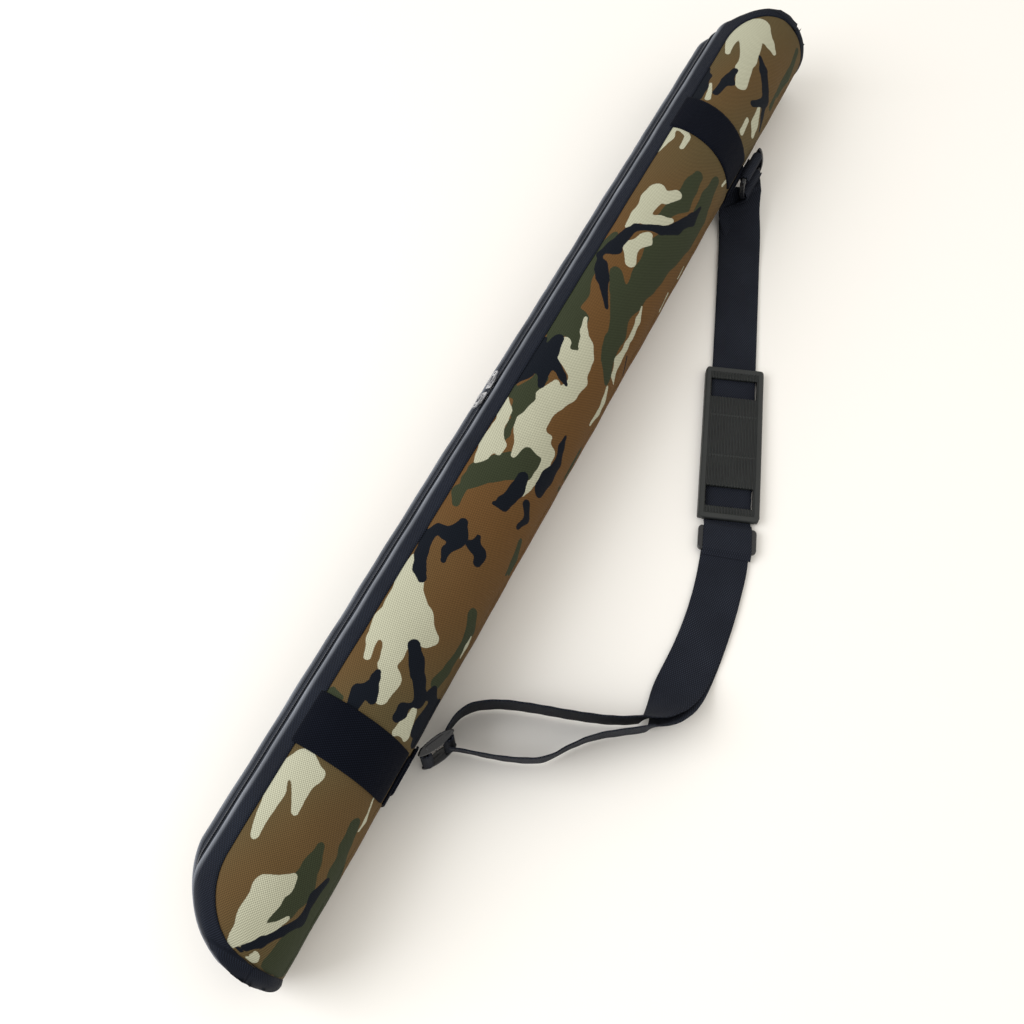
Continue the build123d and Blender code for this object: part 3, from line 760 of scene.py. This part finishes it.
# The photograph shows no tail. This one is invented, and fills the gap beside the upper ring.
TAIL = [
    (0.3360, -0.0560, 0.0205),
    (0.3200, -0.0535, 0.0120),
    (0.3010, -0.0625, 0.0058),
    (0.2850, -0.0775, 0.0030),
]
TAIL_TURNED = ((0.2620, 0.3400), (61.0, 61.0))
tail_path, _ = nurbs("strap_tail_line", TAIL)
tail = strap_ribbon("strap_tail_web", tail_path, 0 * tail_path[:, 0], 0.030, 0.0012, TAIL_TURNED)
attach(tail, "back")

return_route = [(x, y, UNDER) for x, y in RETURN_FLAT] + [(x, y, STANDING) for x, y in RETURN_EDGE]
return_path, return_length = nurbs("strap_return_line", return_route)
return_lean = np.radians(np.interp(return_path[:, 1], [-0.14, -0.08], [7, 10]))
return_roll = roll_by_height(return_path, UNDER, return_lean)
strap_return = strap_ribbon("strap_return_ribbon", return_path, return_roll)
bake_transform(strap_return)
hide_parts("strap_return")

# ---------- padded halves
MIRROR = {"lid": 1, "back": -1}
WINDOWS = {"lid": (0.0304, 0.011, 0.054), "back": (0.0465, 0.011, 0.060)}
FOLDS = {"lid": FRONT_FOLD, "back": BACK_FOLD}


LIP_AT = 0.0022  # the folded edge's ridge, from the fold


def dress(body):
    """Cover, border, foam and lining of one half."""
    sign, window, fold = MIRROR[body], WINDOWS[body], FOLDS[body]
    rim = PARTING + sign * 0.00025
    columns = (14, 62) if body == "lid" else (20, 74)
    outer, across, edge = half_grid(sign, 0.0, fold, rim, window, *columns)
    inner, _, _ = half_grid(sign, COVER, fold, rim, window, *columns)
    normal = outward(outer, sign)
    uv = grid_uv(outer, across)
    xs, walls = stations(0.0)
    panel_end = HALF - window[1]
    panel_rows = (np.abs(xs) <= panel_end + 1e-6) & (walls == 0)
    cells = np.zeros((outer.shape[0] - 1, outer.shape[1] - 1), dtype=bool)
    cells[panel_rows[:-1] & panel_rows[1:], columns[0] :] = True
    # distance to the seam between panel and border, over the surface
    seam = np.abs(across - edge[:, None])
    past_end = np.abs(xs)[:, None] - panel_end
    in_panel = across > edge[:, None]
    beyond = in_panel & (np.abs(xs)[:, None] > panel_end)
    seam = np.where(beyond, np.maximum(past_end, 0) + walls[:, None] * 0.05, seam)
    seam = np.where(in_panel & ~beyond, np.minimum(seam, np.maximum(-past_end, 0)), seam)
    slow = wobble(outer[..., 0], across, 0.00022)
    cover_top = outer + normal * (slow - 0.00045 - 0.0005 * np.exp(-seam / 0.0025))[..., None]
    # the folded edge is a ridge along the zip, and fades out at the end walls
    lip = 0.0013 * np.exp(-((across - LIP_AT) ** 2) / (2 * 0.0015**2)) - 0.0014 * np.exp(-across / 0.0005)
    lip = lip * np.clip((HALF - np.abs(xs)) / 0.004, 0, 1)[:, None]
    raised = slow + 0.0002 - 0.0007 * np.exp(-seam / 0.0006)
    raised = raised + 0.0002 * np.exp(-((seam - 0.002) ** 2) / 1e-6) + lip
    border_top = outer + normal * raised[..., None]
    cover = slab_mesh(f"{body}_cover_cloth", cover_top, inner, uv, cells, print_fields(outer))
    # Where the lighter grey goes: a band along the folded edge's ridge, away from the end walls. It is
    # partly wear and partly a painted highlight.
    ridge_wear_and_highlight = np.exp(-((across - LIP_AT) ** 2) / (2 * 0.0013**2)) * (walls[:, None] < 0.5)
    border = slab_mesh(f"{body}_border_cloth", border_top, inner, uv, ~cells, {"ridge_wear_and_highlight": ridge_wear_and_highlight})
    keep_floor(cover)
    keep_floor(border)
    board_rim, plain = PARTING + sign * 0.0051, (rim, window, 4, 30)
    foam_top, foam_across, _ = half_grid(sign, 0.0020, board_rim, *plain)
    foam_low, _, _ = half_grid(sign, COVER + FOAM - 0.00005, board_rim, *plain)
    foam = slab_mesh(f"{body}_foam", foam_top, foam_low, grid_uv(foam_top, foam_across))
    line_top, line_across, _ = half_grid(sign, COVER + FOAM, rim, *plain)
    line_low, _, _ = half_grid(sign, COVER + FOAM + LINING, rim, *plain)
    crease = wobble(line_low[..., 0], line_across, 0.0003)
    line_low = line_low - outward(line_low, sign) * crease[..., None]
    lining = slab_mesh(f"{body}_lining_cloth", line_top, line_low, grid_uv(line_top, line_across))
    for piece, material, part, slot in (
        (cover, CAMO, "cover", "camouflage_cloth"),
        (border, BORDER, "border", "black_cloth"),
        (foam, FOAM_RUBBER, "shell", "foam"),
        (lining, LINING_CLOTH, "lining", "lining"),
    ):
        place(piece, material, body, f"{body}_{part}")


def keep_floor(made):
    """Nothing goes through the floor."""
    for vertex in made.data.vertices:
        if vertex.co.z < 0:
            vertex.co.z = 0


dress("lid")
dress("back")


# ---------- zip
def side_at(from_end, inset, height):
    """How far the wall reaches towards the zip at a height over the panel's plane."""
    radius = ring_radius(from_end, inset)
    limit = side_limit(from_end, inset)
    softness = softness_of(radius, limit)
    circle = np.sqrt(max(radius**2 - height**2, 1e-8))
    return float(soft_min(circle, limit, softness)) if softness > 0 else min(circle, limit)


def zip_line(inset, height, start=ZIP_END):
    """Points in the panel's plane along the zip, from the lower end to the upper end."""
    half = HALF - inset
    line = []
    first = side_at(0.0, inset, height)
    for side in np.linspace(start, first, 9)[:-1]:
        line.append((-half, side))
    for x in np.concatenate([-half + ENDS, middle_rows(half), half - ENDS[::-1]]):
        line.append((x, side_at(half - abs(x), inset, height)))
    for side in np.linspace(first, start, 9)[1:]:
        line.append((half, side))
    return np.array(line)


def zip_strip(name, low, high, body, node_name):
    """Zip tape: a thin strip along the zip, between two heights."""
    heights = np.linspace(low, high, 7)

    def surface(inset):
        lines = [zip_line(inset, h, ZIP_END - 0.005) for h in heights]
        return np.stack([to_row(*line.T, h) for line, h in zip(lines, heights)], axis=1)

    top, bottom = surface(0.00125), surface(0.00175)
    made = slab_mesh(name, top, bottom, join(run_along(top[:, 3])[:, None], heights[None]))
    place(made, ZIP_TAPE, body, node_name)


zip_strip("lid_tape_cloth", PARTING + 0.0016, 0.0285, "lid", "lid_zip_tape")
zip_strip("back_tape_cloth", 0.0095, PARTING - 0.0016, "back", "back_zip_tape")

# Each turn of the coil: its points off the parting plane and out of the wall, and the loop's four
# rings along the zip, with their shares of the height.
COIL_PITCH = 0.0015
COIL_PROFILE = (
    (0.00030, 0.0),
    (0.00050, 0.00045),
    (0.0011, 0.00050),
    (0.00165, 0.0003),
    (0.00165, -0.0007),
    (0.0011, -0.0009),
    (0.0005, -0.00085),
)
COIL_RINGS = ((-0.00048, 0.75), (-0.0002, 1.0), (0.0002, 1.0), (0.00048, 0.75))


def coil(name, sign, body, node_name):
    """One row of the zip's coil, flattened against the parting plane."""
    line = zip_line(0.0010, PARTING)
    run = run_along(line)
    marks = np.arange(COIL_PITCH, run[-1] - COIL_PITCH, COIL_PITCH) + (0 if sign > 0 else COIL_PITCH / 2)
    xs, sides = np.interp(marks, run, line[:, 0]), np.interp(marks, run, line[:, 1])
    ahead = np.gradient(np.stack([xs, sides], axis=1), axis=0)
    ahead /= np.linalg.norm(ahead, axis=1, keepdims=True)
    out = np.stack([-ahead[:, 1], ahead[:, 0]], axis=1)
    verts, faces = [], []
    n = len(COIL_PROFILE)
    for x, side, (ax, aside), (ox, oside) in zip(xs, sides, ahead, out):
        base = len(verts)
        for shift, scale in COIL_RINGS:
            for off, full in COIL_PROFILE:
                high = full * scale
                at_x, at_side = x + ax * shift + ox * high, side + aside * shift + oside * high
                verts.append(to_row(at_x, at_side, PARTING + sign * off))
        for ring in range(len(COIL_RINGS) - 1):
            for k in range(n):
                a, b = base + ring * n + k, base + ring * n + (k + 1) % n
                faces.append((a, b, b + n, a + n))
        faces.append(tuple(base + k for k in range(n))[::-1])
        faces.append(tuple(base + 3 * n + k for k in range(n)))
    made = link(name, verts, faces)
    fix_normals(made)
    place(made, COIL, body, node_name)


coil("lid_coil_turns", 1, "lid", "lid_zip_coil")
coil("back_coil_turns", -1, "back", "back_zip_coil")


# ---------- bands, ring tabs and loops
SHARES = np.array([-1, -0.97, -0.9, -0.7, -0.4, 0, 0.4, 0.7, 0.9, 0.97, 1])
EDGES = np.array([0.3, 0.85, 1, 1, 1, 1, 1, 1, 1, 0.85, 0.3])


def band(name, node_name, body, x, start, end, base=RADIUS, width=WEB, slant=0.0):
    """A webbing band over the wall between two angles. It leans towards +X at its start."""
    count = max(24, int(abs(end - start) / 2.5))
    angles = np.linspace(math.radians(start), math.radians(end), count)
    lean = slant * np.clip((math.radians(160) - angles) / math.radians(160 - start), 0, 1)
    xs = x + SHARES[None] * width / 2 + lean[:, None]
    radius = base + EDGES[None, :] * BAND + 0.0001 * np.sin(angles * 40)[:, None]
    top, bottom = (
        join(xs, level * np.cos(angles)[:, None], AXIS_Z + level * np.sin(angles)[:, None])
        for level in (radius, np.full_like(radius, base - 0.0006))
    )
    top[..., 2] = np.maximum(top[..., 2], 0)
    bottom[..., 2] = np.maximum(bottom[..., 2], 0.0011)
    uv = join(angles[:, None] * RADIUS, (SHARES * width / 2)[None])
    place(slab_mesh(name, top, bottom, uv), BAND_WEBBING, body, node_name)


LOOP_WIDTH, LOOP_RADIUS, LOOP_THICK = 0.0352, 0.00355, 0.0013


def wrap(name, node_name, body, at, bar):
    """Webbing wrapped round a ring's bar."""
    at, bar = np.array(at), np.array(bar, dtype=float)
    one = np.cross(bar, [0.36, 0.48, 0.8])
    one /= np.linalg.norm(one)
    two = np.cross(bar, one)
    turns = np.linspace(0, 2 * math.pi, 49)
    across = at + bar * (SHARES * LOOP_WIDTH / 2)[:, None]
    round_bar = np.cos(turns)[:, None, None] * one + np.sin(turns)[:, None, None] * two
    outer = across[None] + round_bar * (LOOP_RADIUS + LOOP_THICK * EDGES)[None, :, None]
    inner = across[None] + round_bar * LOOP_RADIUS
    uv = join(turns[:, None] * LOOP_RADIUS, (SHARES * LOOP_WIDTH / 2)[None])
    place(slab_mesh(name, outer, inner, uv), WEBBING, body, node_name)


def ring_hinge(end):
    """Where a ring turns, and the way its bars point."""
    joint = joints[f"{end}_ring_hinge"]
    return Vector(joint["pos_m"]), Vector(joint["axis"])


# From a ring's bar in the tab to its bar in the strap's loop.
UPPER_LEAN, LOWER_LEAN = math.radians(8), math.radians(25)
RING_WAY = {
    "upper": Vector((0, -math.sin(UPPER_LEAN), -math.cos(UPPER_LEAN))),
    "lower": Vector((math.cos(LOWER_LEAN), -math.sin(LOWER_LEAN), 0)),
}
RING_DEPTH = 0.021
TAB_PAST_HINGE = {"upper": 0.008, "lower": 0.001}

for end, slant in (("upper", 0.011), ("lower", 0.004)):
    low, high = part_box(f"{end}_band_front")
    middle = (low[0] + high[0]) / 2
    front, tab = f"{end}_band_front", f"{end}_ring_tab"
    band(f"{front}_web", front, "lid", middle, 66.5, 171.0, width=0.0415, slant=slant)
    band(f"{end}_band_back_web", f"{end}_band_back", "back", middle, 179.0, 352.0)
    hinge, bar = ring_hinge(end)
    outer_bar = hinge + RING_WAY[end] * RING_DEPTH
    wrap(f"{end}_strap_loop_web", f"{end}_strap_loop", f"{end}_ring", outer_bar, bar)
    wrap(f"{end}_tab_loop_web", tab, "back", hinge, bar)
    left, right = middle - 0.010, hinge.x + TAB_PAST_HINGE[end]
    band(f"{end}_tab_web", tab, "back", (left + right) / 2, 184.0, 222.0, RADIUS + BAND, right - left)


def spine_fold():
    """Lining that bridges the hinge."""
    angles = np.radians(np.linspace(162, 188, 27))
    xs = np.linspace(-0.468, 0.468, 235)
    outside = RADIUS - COVER - FOAM - LINING + 0.0003
    crease = 0.00015 * np.sin(xs * 410)[:, None] * np.cos(angles * 30)[None]
    top, bottom = (
        join(xs[:, None], deep * np.cos(angles), AXIS_Z + deep * np.sin(angles))
        for deep in (outside + crease, outside - 0.0013 + crease)
    )
    made = slab_mesh("spine_fold_cloth", top, bottom, join(xs[:, None], (angles * RADIUS)[None]))
    paint(made, LINING_CLOTH)
    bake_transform(made)


spine_fold()


def end_plate(name, body, middle, along, outwards):
    """The leaf-shaped end of a ring: a low dome with a rounded rim, both ways along its length."""
    middle, along, outwards = (np.array(v, dtype=float) for v in (middle, along, outwards))
    side = np.cross(outwards, along)
    turns = np.linspace(0, 2 * math.pi, 65)
    rings = np.array([0.0, 0.3, 0.6, 0.82, 0.93, 0.98, 1.0])
    rise = np.array([0.0014, 0.0013, 0.0012, 0.0014, 0.0013, 0.0008, 0.0])
    long = 0.0165 * np.sign(np.cos(turns)) * np.abs(np.cos(turns)) ** 1.15
    wide = 0.0045 * np.sin(turns)
    flat = (long[:, None] * along + wide[:, None] * side)[:, None] * rings[None, :, None]
    top = middle + flat + outwards * rise[None, :, None]
    low = middle + flat - outwards * (rise * 0.9 + 0.0004)[None, :, None]
    uv = join(turns[:, None] * 0.01, rings[None])
    place(slab_mesh(name, top, low, uv), RING_PLASTIC, body)


# A real ring has two plates. The upper ring's foot is left out, because it cut through the tab.
for end, ways in (("upper", (1,)), ("lower", (-1, 1))):
    hinge, bar = ring_hinge(end)
    for way in ways:
        middle = hinge + RING_WAY[end] * (RING_DEPTH / 2) + bar * (way * 0.0218)
        plate = f"{end}_ring_top" if way > 0 else f"{end}_ring_foot"
        end_plate(plate, f"{end}_ring", middle, RING_WAY[end], bar * way)

# The webbing's fold over the adjuster's middle bar.
STRAP_TURN = math.radians(200.4)  # the strap's heading through the adjuster and under the pad
ADJUSTER_AT = np.array([-0.0206, -0.1901, 0.0])
FOLD_REACH, FOLD_WIDE, FOLD_SKEW, FOLD_THICK = 0.0165, 0.0208, 0.0012, 0.0013
UP = np.array([0, 0, 1.0])
strap_ahead = np.array([math.cos(STRAP_TURN), math.sin(STRAP_TURN), 0.0])
strap_side = np.array([-math.sin(STRAP_TURN), math.cos(STRAP_TURN), 0.0])
fold_at = np.linspace(-FOLD_REACH, FOLD_REACH, 45)
fold_rise = np.clip((FOLD_REACH - np.abs(fold_at)) / 0.0065, 0, 1)
fold_high = 0.0037 + 0.0042 * (0.5 - 0.5 * np.cos(math.pi * fold_rise))
fold_line = ADJUSTER_AT + strap_ahead * fold_at[:, None] + UP * fold_high[:, None]
fold_low = fold_line[:, None] + strap_side * (SHARES * FOLD_WIDE)[None, :, None]
fold_low = fold_low + strap_ahead * (SHARES * FOLD_SKEW)[None, :, None]
fold_top = fold_low + UP * (EDGES * FOLD_THICK)[None, :, None]
fold_uv = join(fold_at[:, None], (SHARES * FOLD_WIDE)[None])
fold = slab_mesh("adjuster_fold_web", fold_top, fold_low, fold_uv)
place(fold, WEBBING, "back")

# ---------- plain CAD pieces, with their materials
for name, material in (
    ("upper_slider", NICKEL),
    ("lower_slider", NICKEL),
    ("upper_pull", NICKEL),
    ("lower_pull", NICKEL),
    ("zip_stops", NICKEL),
    ("upper_ring", RING_PLASTIC),
    ("lower_ring", RING_PLASTIC),
    ("adjuster", RING_PLASTIC),
    ("spine_tape", LINING_CLOTH),
):
    obj = frame["nodes"][name]
    for slot in obj.material_slots:
        slot.material = material

# ---------- shoulder pad
PAD_AT = Vector((0.0695, -0.1568))
PAD_LONG, PAD_WIDE, PAD_CORNER = 0.156, 0.053, 0.005
RIM_HIGH, FIELD_HIGH, RIB_PITCH = 0.0086, 0.0069, 0.0026
pad_x = np.arange(-PAD_LONG / 2, PAD_LONG / 2 + 1e-9, 0.0005)
pad_y = np.arange(-PAD_WIDE / 2, PAD_WIDE / 2 + 1e-9, 0.00025)
gx, gy = np.meshgrid(pad_x, pad_y, indexing="ij")
edge = np.minimum(PAD_LONG / 2 - np.abs(gx), PAD_WIDE / 2 - np.abs(gy))
rim = RIM_HIGH - 0.0016 * np.exp(-edge / 0.0006)
to_rib = np.abs((gy / RIB_PITCH + 0.5) % 1 - 0.5) * RIB_PITCH
field = FIELD_HIGH + 0.0014 * np.exp(-((to_rib / 0.00055) ** 2)) * (np.abs(gx) < 0.0735)
cross_line = np.minimum(np.abs(gx - 0.0150), np.abs(gx + 0.0270))
field = np.maximum(field, 0.0070 + 0.0012 * np.exp(-((cross_line / 0.0005) ** 2)))
inside = np.clip((edge - 0.0045) / 0.0008, 0, 1)
pad_top = rim * (1 - inside) + field * inside + 0.0004 * np.sin(gx * 28 + 0.5)
rail = (np.abs(gy) > PAD_WIDE / 2 - 0.0056) & (np.abs(gx) < PAD_LONG / 2 - 0.002)
pad_low = np.where(rail, 0.0001, 0.0040)
# the two slots that the strap goes through, and the rounded corners
slot_edge = np.maximum(np.abs(np.abs(gx) - 0.056) - 0.010, np.abs(gy) - 0.0210)
corner_x = np.clip(np.abs(gx) - (PAD_LONG / 2 - PAD_CORNER), 0, 1)
corner_y = np.clip(np.abs(gy) - (PAD_WIDE / 2 - PAD_CORNER), 0, 1)
rubber = (slot_edge > 0) & (np.hypot(corner_x, corner_y) <= PAD_CORNER + 0.0001)
cells = rubber[:-1, :-1] & rubber[1:, 1:]
turned_x = PAD_AT.x + gx * math.cos(STRAP_TURN) - gy * math.sin(STRAP_TURN)
turned_y = PAD_AT.y + gx * math.sin(STRAP_TURN) + gy * math.cos(STRAP_TURN)
pad_upper, pad_under = join(turned_x, turned_y, pad_top), join(turned_x, turned_y, pad_low)
pad = slab_mesh("shoulder_pad_rubber", pad_upper, pad_under, join(gx, gy), cells)
place(pad, PAD_RUBBER, "shoulder_pad", "shoulder_pad")

# ---------- floor and light
floor = link("floor", [(-6, -6, 0), (6, -6, 0), (6, 6, 0), (-6, 6, 0)], [(0, 1, 2, 3)], smooth=False)
floor_material, _, floor_shader = new_material("floor_paper", 0.6, Specular_IOR_Level=0.2)
floor_shader.inputs["Base Color"].default_value = (0.86, 0.85, 0.83, 1)
paint(floor, floor_material)
floor.location.z = -0.0002


def area(name, location, target, size, power, colour):
    data = bpy.data.lights.new(name, "AREA")
    data.size = size
    data.energy = power
    data.color = colour
    light = bpy.data.objects.new(name, data)
    light.location = location
    light.rotation_mode = "QUATERNION"
    light.rotation_quaternion = (Vector(target) - Vector(location)).to_track_quat("-Z", "Y")
    bpy.context.scene.collection.objects.link(light)


area("window", (-1.4, 1.7, 1.7), (0, 0, 0), 2.1, 56, (0.985, 0.99, 1.0))
area("room", (0.9, -1.5, 2.2), (0, 0, 0), 2.0, 6, (1.0, 0.92, 0.80))
world = bpy.data.worlds.new("world")
bpy.context.scene.world = world
world.use_nodes = True
world.node_tree.nodes["Background"].inputs[0].default_value = (1.0, 0.965, 0.90, 1)
world.node_tree.nodes["Background"].inputs[1].default_value = 0.89
bpy.context.scene.view_settings.view_transform = "Standard"
